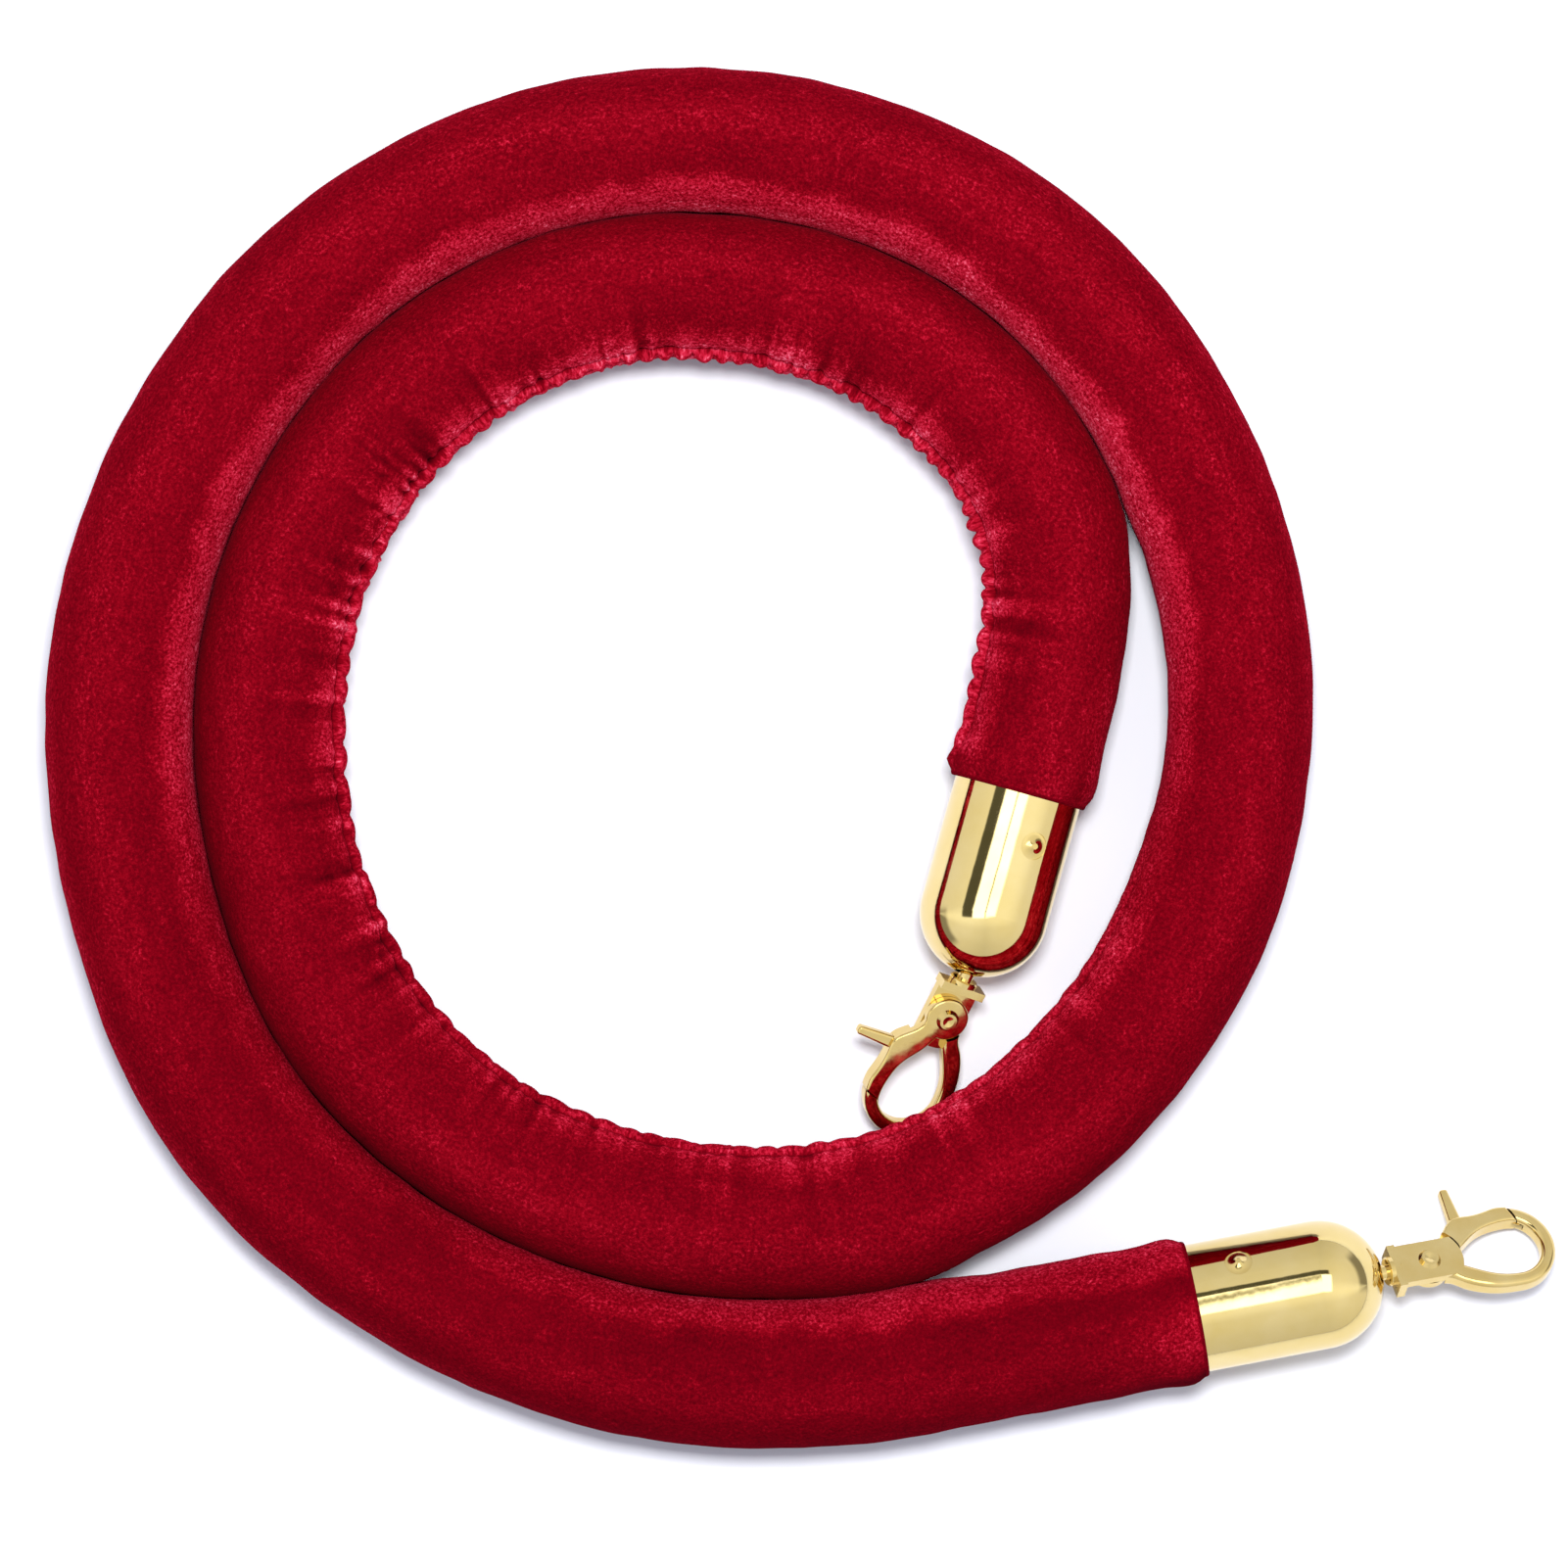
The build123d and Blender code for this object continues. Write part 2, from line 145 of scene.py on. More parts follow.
floor_mesh = bpy.data.meshes.new("table_top")
corners = [(x * FLOOR_HALF, y * FLOOR_HALF, FLOOR_Z) for x, y in ((-1, -1), (1, -1), (1, 1), (-1, 1))]
floor_mesh.from_pydata(corners, [], [(0, 1, 2, 3)])
floor = bpy.data.objects.new("table_top", floor_mesh)
scene.collection.objects.link(floor)

paper, tree = new_material("matt_white_paper")
shader = add_node(tree, "ShaderNodeBsdfPrincipled",
                  {"Base Color": linear("f1f3fa"), "Roughness": 0.9, "Specular IOR Level": 0.2})
finish_material(tree, shader)
floor_mesh.materials.append(paper)
print("table", 2 * FLOOR_HALF, "m across")

# %% [markdown]
# ## The room that the metal mirrors
# Polished metal shows nothing but its surroundings, and a shiny round cap mirrors nearly all of
# the room. Real panels could stand round the rope, but the paper and the cloth would see them
# too. A sky made of nodes can be one thing to metal and another to cloth. The metal gets a pale
# room: a white softbox in the middle of its ceiling and a dark gap beside the softbox. Without a
# dark edge in it, plating looks like yellow plastic. Cloth and table get an even, slightly
# bluish light from all round.

# %% Directions in the room
world = bpy.data.worlds.new("studio_sky")
scene.world = world
world.use_nodes = True
tree = world.node_tree
tree.nodes.clear()

place = add_node(tree, "ShaderNodeTexCoord")
split = add_node(tree, "ShaderNodeSeparateXYZ", {"Vector": place.outputs["Generated"]})
east, north, height_up = split.outputs
# Places on a ceiling one unit above the rope. LOWEST keeps the division from running away.
LOWEST = 0.02
above = add_node(tree, "ShaderNodeMath", {0: height_up, 1: LOWEST}, operation="MAXIMUM")
ceiling_x = add_node(tree, "ShaderNodeMath", {0: east, 1: above}, operation="DIVIDE")
ceiling_y = add_node(tree, "ShaderNodeMath", {0: north, 1: above}, operation="DIVIDE")
print("sky nodes so far", len(tree.nodes))


# %% Shapes on the ceiling
def between(value, low, high, edge, share=1.0):
    """The share where the value is between low and high, fading to 0 over the edge's width."""
    rise = add_node(tree, "ShaderNodeMapRange",
                    {"Value": value, "From Min": low - edge, "From Max": low + edge, "To Max": share},
                    interpolation_type="SMOOTHSTEP")
    return add_node(tree, "ShaderNodeMapRange",
                    {"Value": value, "From Min": high - edge, "From Max": high + edge,
                     "To Min": rise, "To Max": 0.0}, interpolation_type="SMOOTHSTEP")


# A shape inside another takes the other one as its share.
softbox = between(ceiling_x, -0.40, 0.32, 0.04, share=between(ceiling_y, -0.14, 0.42, 0.03))
gap = between(ceiling_x, -0.88, 0.26, 0.05, share=between(ceiling_y, -0.12, 0.60, 0.03))
glow = between(ceiling_y, -0.36, 0.10, 0.22, share=0.35)
seam_of_softbox = between(ceiling_x, -0.02, 0.02, 0.02, share=softbox)

# %% Doorways
# Two dark doorways low in the room, east and west, draw the edges of the hooks. They stand
# across a line that is turned 20 degrees from north.
DOORWAY_LINE = (-0.342, 0.940, 0.0)
crosswise = add_node(tree, "ShaderNodeVectorMath", {0: place.outputs["Generated"], 1: DOORWAY_LINE},
                     operation="DOT_PRODUCT").outputs["Value"]
doorway = between(crosswise, -0.42, 0.42, 0.12, share=between(height_up, -0.3, 0.30, 0.08, share=0.70))
print("sky nodes so far", len(tree.nodes))

# %% Walls and ceiling
SIDE_WALL_LIGHT = 1.35          # the side walls' brightness, with the front wall's at 1
wall = add_node(tree, "ShaderNodeValToRGB", {"Fac": height_up})
fill_stops(wall.color_ramp, [(0.0, "dcdce0"), (0.5, "e8e8ea"), (0.8, "f6f6f6"), (1.0, "ffffff")])
sideways = add_node(tree, "ShaderNodeMath", {0: east}, operation="ABSOLUTE")
brightness = add_node(tree, "ShaderNodeMapRange",
                      {"Value": sideways, "To Min": 1.0, "To Max": SIDE_WALL_LIGHT})
room = add_node(tree, "ShaderNodeMixRGB", {"Fac": 1.0, "Color1": wall, "Color2": brightness},
                blend_type="MULTIPLY")
# what is laid over the walls, from the first to the last: how much of it, and its colour
for share, colour in (
    (doorway, linear("3c362c")),
    (glow, (1.7, 1.75, 1.8, 1.0)),
    (gap, linear("5e5e58")),
    (softbox, (3.2, 3.3, 3.6, 1.0)),
    (seam_of_softbox, linear("b8b8b0")),
):
    room = add_node(tree, "ShaderNodeMixRGB", {"Fac": share, "Color1": room, "Color2": colour})

# %% Metal sees the room, all else an even light
ray = add_node(tree, "ShaderNodeLightPath")
mirrored = add_node(tree, "ShaderNodeBackground", {"Color": room, "Strength": 1.0})
even = add_node(tree, "ShaderNodeBackground", {"Color": linear("bdbec8"), "Strength": 1.0})
either = add_node(tree, "ShaderNodeMixShader", {0: ray.outputs["Is Glossy Ray"], 1: even, 2: mirrored})
add_node(tree, "ShaderNodeOutputWorld", {"Surface": either})
print("sky made of", len(tree.nodes), "nodes")

# %% [markdown]
# ## Lamps
# A sun would draw hard shadows, and the rope's are soft, so the lamps are area lamps. The key
# lamp hangs almost straight over the rope, a little to the +Y side. It is small for its height,
# so the rope's shadow is a narrow line on its -Y side. Two long panels fill in from the sides.
# The metal mirrors the room above and not these lamps.

# %% Lamps
# name, place, size across and along in metres, power in watts
LAMPS = [
    ("key_panel", (0.03, 0.20, 1.36), (0.30, 0.22), 17.0),
    ("left_panel", (-1.00, 0.25, 0.85), (0.35, 1.1), 1.5),
    ("right_panel", (0.95, 0.10, 0.95), (0.25, 0.9), 1.5),
]
for name, place, size, power in LAMPS:
    lamp = bpy.data.lights.new(name, "AREA")
    lamp.shape = "RECTANGLE"
    lamp.size, lamp.size_y = size
    lamp.energy = power
    holder = bpy.data.objects.new(name, lamp)
    holder.location = place
    holder.rotation_euler = (-Vector(place)).to_track_quat("-Z", "Y").to_euler()
    holder.visible_glossy = False
    scene.collection.objects.link(holder)
print("lamps", [name for name, *rest in LAMPS])

# %% [markdown]
# ## The rope's line
# A rope has one length and no corners. A bevelled curve would give a tube at once, but one with
# no seam and no hems. So the rope's middle line is a NURBS spline with the route's points as
# control points, which rounds every turn by itself, and the velvet is built round the points
# that are read back from that spline.

# %% Route
ROUTE = [
    (47.4, -6.5), (56.1, 24.8), (55.6, 50), (43.2, 73), (20, 92.5), (-9.5, 102), (-43, 102),
    (-79, 85.2), (-104.5, 55), (-115.5, 17), (-112.5, -22), (-97, -58.5), (-68, -86),
    (-28, -100.3), (18.3, -99.8), (56.9, -78.5), (85.3, -40.5), (98, 8), (88.2, 59), (58.5, 105),
    (8.5, 132.3), (-49, 134), (-99, 110.3), (-132.5, 69.8), (-149, 20), (-144, -31),
    (-125, -78.5), (-86, -112.5), (-39, -131.8), (5, -134.3), (46, -126.4), (84.8, -119.0),
]
STEPS_PER_RUN = 60
SAME_PLACE = 1e-4               # mm, points closer than this are one point

route_curve = bpy.data.curves.new("rope_line", "CURVE")
route_curve.dimensions = "3D"
spline = route_curve.splines.new("NURBS")
spline.points.add(len(ROUTE) - 1)
for point, (x, y) in zip(spline.points, ROUTE):
    point.co = (x * MM, y * MM, ROPE_Z * MM, 1.0)
spline.order_u = 3
spline.use_endpoint_u = True
spline.resolution_u = STEPS_PER_RUN
route_object = bpy.data.objects.new("rope_line", route_curve)
scene.collection.objects.link(route_object)
bpy.context.view_layer.update()
line_mesh = bpy.data.meshes.new_from_object(route_object)
line = np.array([v.co for v in line_mesh.vertices]) / MM
bpy.data.objects.remove(route_object)
bpy.data.meshes.remove(line_mesh)

steps = np.linalg.norm(np.diff(line, axis=0), axis=1)
keep = np.concatenate([[True], steps > SAME_PLACE])
line = line[keep]
steps = np.linalg.norm(np.diff(line, axis=0), axis=1)
along = np.concatenate([[0.0], np.cumsum(steps)])
rope_length = along[-1]
print("rope line", len(line), "points,", round(rope_length, 1), "mm")

# %% Directions along the line
COIL_MIDDLE = (-26.6, 0.9)      # mm

ahead = np.gradient(line, axis=0)
ahead /= np.linalg.norm(ahead, axis=1)[:, None]
outward = np.stack([ahead[:, 1], -ahead[:, 0], np.zeros(len(line))], axis=1)
turned = np.degrees(np.unwrap(np.arctan2(line[:, 1] - COIL_MIDDLE[1], line[:, 0] - COIL_MIDDLE[0])))
print("turns", round(turned[0]), "to", round(turned[-1]), "degrees round the coil")


def by_turn(*stops):
    """One value per ring that changes round the coil, from (degrees turned, value) stops."""
    degrees, values = zip(*stops)
    return np.interp(turned, degrees, values)


# %% [markdown]
# ## The velvet sleeve
# The sleeve is one strip of velvet, sewn up along its length. On the inside of each bend there
# is too much cloth, so its seam gathers: the sewn edge stands up as a little bead with scallops
# 4 to 7 mm apart, and short wrinkles run from it into the cloth. A cloth simulation would
# crease too, but not in the same places each time. All of this is height on a tube, so the
# sleeve is built as rings of points round the line, and each point's distance from the line is
# worked out from where it is. The points of a ring stand closest where the seam is.

# %% Sleeve sizes
HALF_WIDTH = 15.8               # mm
HALF_HEIGHT = 15.9
CAP_RADIUS = 14.0               # the cap's, with a hair of room
SEAM_ANGLE = 167.0              # degrees round the section from the coil's outside, over the top
SEAM_HALF = 6.8                 # half the bead's width in degrees of the section

# Angles round the section: the gathered side has many, the rest few.
section = np.concatenate([np.arange(0, 110, 5.0), np.arange(110, 156, 2.3),
                          np.arange(156, 184, 1.3), np.arange(184, 220, 4.0),
                          np.arange(220, 360, 7.0)])
print("section has", len(section), "points")


# %% Helpers for soft shapes
def smooth(low, high, value):
    """0 below low, 1 above high, and an even slope between."""
    t = np.clip((value - low) / (high - low), 0, 1)
    return t * t * (3 - 2 * t)


def hump(value, middle, reach):
    """A soft hump of height 1 at the middle, which is nearly gone two reaches away."""
    return np.exp(-((value - middle) / reach) ** 2)


def wander(values, scale, seed):
    """Soft random numbers from -1 to 1 along a list of places in mm."""
    return np.array([noise.noise(Vector((v / scale, seed, 0.5))) for v in values])


# %% [markdown]
# ## Room between the turns
# Where two turns lie side by side they press each other flat. A simulation of two soft tubes
# would show this, but it follows from one rule: they meet halfway. So the sleeve's half width on
# that side is half of the distance to the other turn's line, and its own width elsewhere.

# %% Half widths
NEXT_TURN = 150.0               # mm along the rope, past which a point is on another turn
OPEN_FLOOR = 99.0               # mm, the room where there is no other turn
TOUCHING = 33.5                 # mm between the lines of turns that still press each other
PARTED = 36.6                   # mm between lines that have let go of each other
MOST_ROOM = 37.0
PILES_MEET = 0.12               # mm that each pile stands into the other
UNEVEN = 0.18                   # mm that the half width wanders by


def half_width_towards(side):
    """Half width on the outer side (1) or the inner side (-1), for each ring."""
    room = np.full(len(line), OPEN_FLOOR)
    for i in range(len(line)):
        other = np.abs(along - along[i]) > NEXT_TURN
        away = line[other] - line[i]
        facing = away @ outward[i] * side > 0
        if facing.any():
            room[i] = np.linalg.norm(away[facing], axis=1).min()
    # They let go of each other sooner where the inner end turns in.
    sooner = by_turn((60, 1.4), (90, 0), (345, 0), (360, 1.4), (430, 1.4), (445, 0))
    pressed = 1 - smooth(TOUCHING - sooner, PARTED - 1.7 * sooner, room)
    return HALF_WIDTH + pressed * (np.minimum(room, MOST_ROOM) / 2 + PILES_MEET - HALF_WIDTH)


outer_half = half_width_towards(1) + UNEVEN * wander(along, 6.0, 61.0)
inner_half = half_width_towards(-1) + UNEVEN * wander(along, 5.0, 67.0)
print("half widths from", round(min(outer_half.min(), inner_half.min()), 2),
      "to", round(max(outer_half.max(), inner_half.max()), 2))

# %% [markdown]
# ## The gathered seam
# The gathers are strongest where the inner turn bends most, and the outer turn hides its seam
# against the inner one. Sculpting them by hand would look as good but could not be changed
# later. Here each of their traits is one number per ring, which changes slowly round the coil
# and wanders a little, because no two gathers of a hand-fed seam are alike.

# %% Strength of the seam along the rope
gather = by_turn((-6, 0.55), (4, 0.8), (25, 1.0), (165, 1.0), (200, 0.75), (300, 0.5), (335, 0.3), (352, 0.0))
gather = gather * smooth(1.5, 9.0, along)
hidden_seam = smooth(345, 365, turned)
print("seam gathered over", round((gather > 0).mean() * rope_length), "mm")

# %% Scallops
# mm from one scallop to the next along the rope's middle, shortest on the coil's +Y side
scallop_length = by_turn((0, 5.6), (60, 5.4), (95, 4.7), (120, 6.0), (150, 7.6), (180, 8.4),
                         (225, 7.4), (300, 6.5))
phase = np.concatenate([[0.0], np.cumsum(steps / scallop_length[1:])]) + 0.35 * wander(along, 9.0, 3.0)
scallop = np.abs(np.sin(math.pi * phase)) ** 0.6
scallop = scallop * (0.8 + 0.35 * wander(along, 14.0, 5.0))
scallop = scallop * by_turn((5, 0.9), (20, 1.35), (90, 1.35), (140, 1.0))
print("scallops", int(phase.max()))

# %% Wrinkles
pucker = wander(along, 1.9, 11.0) + 0.6 * wander(along, 4.2, 17.0)
pucker_reach = 38.0 + 30.0 * wander(along, 9.0, 23.0)      # degrees of the section
bunched = 0.45 + 0.75 * smooth(-0.25, 0.35, wander(along, 15.0, 51.0))
bunched = bunched * by_turn((0, 0.5), (6, 0.5), (24, 0.6), (40, 1.0))
print("wrinkles reach", round(pucker_reach.min()), "to", round(pucker_reach.max()), "degrees round")

# %% Bead and creases on the section
# From here each array has a row for every ring and a column for every angle of the section.
around = section[None, :]
angle = np.radians(around)
gathered = gather[:, None]
from_seam = around - SEAM_ANGLE
bead = np.clip(1 - (np.abs(from_seam) / SEAM_HALF) ** 2.4, 0, 1) ** 0.7
CREASE_PLACE = SEAM_HALF + 2.6  # degrees from the seam, on both sides of the bead
crease = hump(from_seam, -CREASE_PLACE, 2.2) + 0.8 * hump(from_seam, CREASE_PLACE, 2.6)
near_seam = gathered * np.exp(-(np.abs(from_seam) / pucker_reach[:, None]) ** 1.6) * (1 - bead)
near_seam = near_seam * bunched[:, None]

# %% Soft unevenness
# Lumps of the cotton inside, crumpled cloth beside the seam, and pleats that run along the rope
# where the cloth is drawn in round the caps. The divisors are their sizes in mm.
end_room = np.minimum(along, rope_length - along)
lumps = np.zeros((len(along), len(section)))
crumple = np.zeros_like(lumps)
pleats = np.zeros_like(lumps)
for i, (x, y, _) in enumerate(line):
    for j, a in enumerate(np.radians(section)):
        level, over = math.cos(a), math.sin(a)
        lumps[i, j] = (noise.noise(Vector((x / 34, y / 34, 1.1 * level)))
                       + 0.45 * noise.noise(Vector((x / 11, y / 11, 2.6 * over + 7))))
        crumple[i, j] = noise.noise(Vector((along[i] / 1.9, a * 5.0, 40.0)))
        pleats[i, j] = noise.noise(Vector((2.4 * level, 2.4 * over, along[i] / 40)))
pleats = pleats * np.exp(-end_room[:, None] / 20.0)
print("lumps from", round(lumps.min(), 2), "to", round(lumps.max(), 2))

# %% Height of the seam
BEAD_HEIGHT = 0.6               # mm, as are all the heights below
SCALLOP_HEIGHT = 1.7
CREASE_DEPTH = 0.5
PUCKER_HEIGHT = 1.15
CRUMPLE_HEIGHT = 0.5
swell = gathered * (bead * (BEAD_HEIGHT + SCALLOP_HEIGHT * scallop[:, None]) - CREASE_DEPTH * crease)
drawn_in = by_turn((0, 0.9), (60, 1.4), (110, 1.3), (180, 0.6), (300, 0.3))[:, None]
swell = swell - drawn_in * gathered * hump(from_seam, 0, 15.0)
swell = swell + near_seam * (PUCKER_HEIGHT * pucker[:, None] + CRUMPLE_HEIGHT * crumple)
print("seam swells from", round(swell.min(), 2), "to", round(swell.max(), 2), "mm")

# %% Height of the rest
HIDDEN_FOLD = 0.5               # depth of the long shallow fold where the hidden seam lies
LUMP_HEIGHT = 0.22
PLEAT_HEIGHT = 1.1
swell = swell - HIDDEN_FOLD * hidden_seam[:, None] * hump(around, 180, 7.0)
settle = smooth(2.0, 30.0, end_room)[:, None]
swell = swell + LUMP_HEIGHT * settle * lumps
swell = swell + PLEAT_HEIGHT * smooth(1.5, 7.0, end_room)[:, None] * pleats
# The cotton is packed a little thicker for a stretch at the end of the inner turn.
swell = swell + by_turn((280, 0), (295, 0.55), (345, 0.55), (358, 0))[:, None]

# %% Height at the hems
HEM_PLUMP = 0.35                # the cloth plumps up a little behind each hem
HEM_DIP = 0.25                  # and dips behind that
HEM_ROUNDING = 0.9
SEAM_LUMP = 0.9                 # the seam's many layers make a lump in the first hem
swell = swell + HEM_PLUMP * hump(end_room[:, None], 4.5, 3.0)
swell = swell - HEM_DIP * hump(end_room[:, None], 13.0, 4.0)
swell = swell - HEM_ROUNDING * (1 - smooth(0, 2.8, end_room[:, None])) ** 2
swell = swell + SEAM_LUMP * hump(along[:, None], 2.0, 1.8) * hump(around, 172, 11.0)
print("sleeve swells from", round(swell.min(), 2), "to", round(swell.max(), 2), "mm")

# %% Points of the sleeve
SAG = 0.45                      # mm that the rope sinks under its own weight
FLOOR_ROOM = 0.7                # mm above the table where the underside starts to flatten
SOFTEST = 0.62                  # mm over which it does
facing_out = smooth(-0.3, 0.3, np.cos(angle))
width = inner_half[:, None] * (1 - facing_out) + outer_half[:, None] * facing_out + swell
height = HALF_HEIGHT + swell
across = width * np.cos(angle)
up = height * np.sin(angle) + ROPE_Z - SAG * settle
flattened = FLOOR_ROOM - SOFTEST * (1 - np.exp(-(FLOOR_ROOM - up) / SOFTEST))
up = np.where(up < FLOOR_ROOM, flattened, up)
outer_rings = line[:, None, :2] + across[:, :, None] * outward[:, None, :2]
outer_rings = np.concatenate([outer_rings, up[:, :, None]], axis=2)
print("sleeve rings", outer_rings.shape)

# %% Room for the inner hook
# The inner hook turns on its swivel close beside the rope. Its round ring sweeps a ball, and
# the velvet gives way sideways wherever it would be inside that ball.
RING_MIDDLE = 30.2              # mm from the swivel
RING_RADIUS = 9.8
HOOK_ROOM = 0.5
GIVE_SOFTNESS = 0.4             # mm over which the cloth starts to give way
MOST_STEPS = 30                 # of that softness, so that the exponential stays small
swivel = next(joint for joint in frame["joints"] if joint["name"] == "swivel_a")
ball = np.array(swivel["pos_m"]) / MM + RING_MIDDLE * np.array(swivel["axis"])
from_ball = outer_rings - ball
level = np.linalg.norm(from_ball[:, :, :2], axis=2)
needed = np.sqrt(np.clip((RING_RADIUS + HOOK_ROOM) ** 2 - from_ball[:, :, 2] ** 2, 0, None))
inside = np.clip((needed - level) / GIVE_SOFTNESS, -MOST_STEPS, MOST_STEPS)
give = GIVE_SOFTNESS * np.log1p(np.exp(inside))
outer_rings[:, :, :2] += from_ball[:, :, :2] / level[:, :, None] * give[:, :, None]
print("velvet gives way by up to", round(give.max(), 2), "mm")


# %% [markdown]
# ## Hems
# Each end of the sleeve is turned in and lies tight round the cap, so its edge is a roll and not
# a cut. A solidify modifier would give the cloth a cut edge of one thickness all round. Rings
# that turn over the edge give the roll. Behind it the cloth goes on inside, down to where the
# cap ends. Closing it there keeps the sleeve one closed shape.

# %% Hem rings
HEM_ROUND = 1.3                 # mm that the roll stands out past the sleeve's end
HEM_FLATNESS = 0.75
POCKET = 12.1                   # mm that the cap goes in
POCKET_RINGS = (POCKET, POCKET / 2, 2.0, 0.3)
ROLL_TURNS = (60, 35, 10, -15, -40, -65)                   # degrees round the roll


def hem_rings(end):
    """Rings from the closed bottom of the pocket out to the roll, for the first or last end."""
    centre = line[end]
    inward = ahead[end] * (1 if end == 0 else -1)
    side = outward[end]
    cos, sin = np.cos(np.radians(section)), np.sin(np.radians(section))
    edge = np.linalg.norm(outer_rings[end] - centre, axis=1)
    rings = []

    def ring(depth, radius):
        spokes = cos[:, None] * side + sin[:, None] * np.array([0, 0, 1.0])
        rings.append(centre + inward * depth + radius[:, None] * spokes)

    tight = np.full(len(section), CAP_RADIUS)
    for depth in POCKET_RINGS:
        ring(depth, tight)
    middle = (edge + CAP_RADIUS) / 2
    half = (edge - CAP_RADIUS) / 2
    for turn in ROLL_TURNS:
        t = math.radians(turn)
        ring(-HEM_ROUND * math.cos(t) * HEM_FLATNESS, middle - half * math.sin(t))
    return rings


first_hem = hem_rings(0)
last_hem = hem_rings(-1)
print("hems of", len(first_hem), "rings each")


# %% Skin over the rings
def ring_mesh(name, rings, closed_centres):
    """A closed tube through rings of equal count, with a fan at both ends."""
    count = len(rings[0])
    points = np.concatenate(rings + [np.array(closed_centres)])
    faces = []
    for i in range(len(rings) - 1):
        base = i * count
        for j in range(count):
            k = (j + 1) % count
            faces.append((base + j, base + k, base + count + k, base + count + j))
    last = (len(rings) - 1) * count
    first_centre = len(rings) * count
    for j in range(count):
        k = (j + 1) % count
        faces.append((first_centre, k, j))
        faces.append((first_centre + 1, last + j, last + k))
    mesh = bpy.data.meshes.new(name)
    mesh.from_pydata((points * MM).tolist(), [], faces)
    mesh.polygons.foreach_set("use_smooth", [True] * len(mesh.polygons))
    mesh.update()
    return mesh


# %% Build the sleeve
all_rings = first_hem + list(outer_rings) + last_hem[::-1]
centres = [line[0] + ahead[0] * POCKET, line[-1] - ahead[-1] * POCKET]
sleeve_mesh = ring_mesh("velvet_rope", all_rings, centres)
sleeve = bpy.data.objects.new("velvet_rope", sleeve_mesh)
scene.collection.objects.link(sleeve)
print("sleeve faces", len(sleeve_mesh.polygons))

# %% [markdown]
# ## Nap
# Velvet is thousands of upright threads, and its colour depends on how they lean: stroked one
# way it is nearly black, the other way pink. Hair would show this and take hours to render. How
# the pile lies follows how the rope was handled and sewn, so it belongs to the cloth: it is
# worked out for each point of the sleeve and stored there as one number, from 0, laid away and
# dark, to 1, brushed up and light. The same number also carries painted light and shade: shade
# in the seam's crease, light and shade that follow the wrinkles and pleats, a highlight on the
# upper shoulder, a lift at the contact edge between the turns, shade on the underside, and light
# and shade on the outer rim and round the coil.

# %% How the pile lies near the seam, with painted shade in its crease and wrinkles
UNTOUCHED = 0.46                # lean of velvet that nobody has stroked
side = np.cos(angle) + np.zeros_like(lumps)        # 1 on the coil's outside, -1 on its inside
upper = smooth(-0.6, -0.05, np.sin(angle))
ragged = (0.10 * wander(along, 7.0, 31.0) + 0.10 * wander(along, 24.0, 37.0))[:, None]
lean_and_painted_light = np.full(side.shape, UNTOUCHED)
# brushed up beside the gathered seam; painted shade in its crease, and painted light and shade
# that follow the height of its wrinkles, lighter on their tops and darker between them
brushed = by_turn((150, 0.30), (200, 0.16), (250, 0.16), (300, 0.30))[:, None]
lean_and_painted_light = lean_and_painted_light + brushed * smooth(0.0, 0.4, gathered) * smooth(0.50, 0.95, -side + ragged) * upper
# the bead is a shade darker, and the crease gets painted shade
lean_and_painted_light = lean_and_painted_light - 0.04 * gathered * bead - 0.30 * gathered * crease
# painted light and shade: the tone follows the wrinkles' height
lean_and_painted_light = lean_and_painted_light + near_seam * (0.55 * pucker[:, None] + 0.36 * crumple) * upper
print("beside the seam the pile leans", round(lean_and_painted_light.min(), 2), "to", round(lean_and_painted_light.max(), 2))

# %% How the pile lies elsewhere, with painted light and shade
# rubbed light where the outer turn lies against the inner one; the second term of inner_side is
# painted light that lifts the crevice's shade right at the contact edge
rubbed = by_turn((330, 0), (372, 0.7), (395, 1.0), (425, 0.8), (480, 0.75), (540, 0.75),
                 (560, 0.35), (600, 0.35), (625, 0.6), (660, 0.7), (690, 0.2))[:, None]
inner_side = 0.33 * smooth(0.46, 0.76, -side + ragged) + 0.18 * smooth(0.84, 0.98, -side)
lean_and_painted_light = lean_and_painted_light + rubbed * inner_side * upper
# painted highlight: a broad faint light along the upper shoulder
lean_and_painted_light = lean_and_painted_light + 0.06 * hump(side, 0.3, 0.28) * upper
# painted light and shade on the outer rim: darker on the inner turn's lower half, lighter on
# the outer turn's
rim = by_turn((20, 0.05), (130, 0.03), (180, -0.08), (290, -0.10), (330, 0.02), (370, 0.08),
              (530, 0.10), (550, 0.18), (600, 0.18), (625, 0.0))[:, None]
lean_and_painted_light = lean_and_painted_light + rim * smooth(0.7, 1.0, side) * upper
# painted shade on the underside, and whole stretches of the rope painted a little lighter
# towards the coil's top and darker towards its bottom, as the light falls
lean_and_painted_light = lean_and_painted_light - 0.15 * (1 - upper)
lean_and_painted_light = lean_and_painted_light + by_turn((0, 0.01), (60, 0.01), (180, -0.01), (280, -0.01), (350, -0.01), (400, 0.02),
                      (470, 0.01), (540, -0.01), (600, -0.06), (670, -0.06))[:, None]
# painted light and shade that follow the pleats' height by the caps
lean_and_painted_light = lean_and_painted_light + 0.30 * pleats

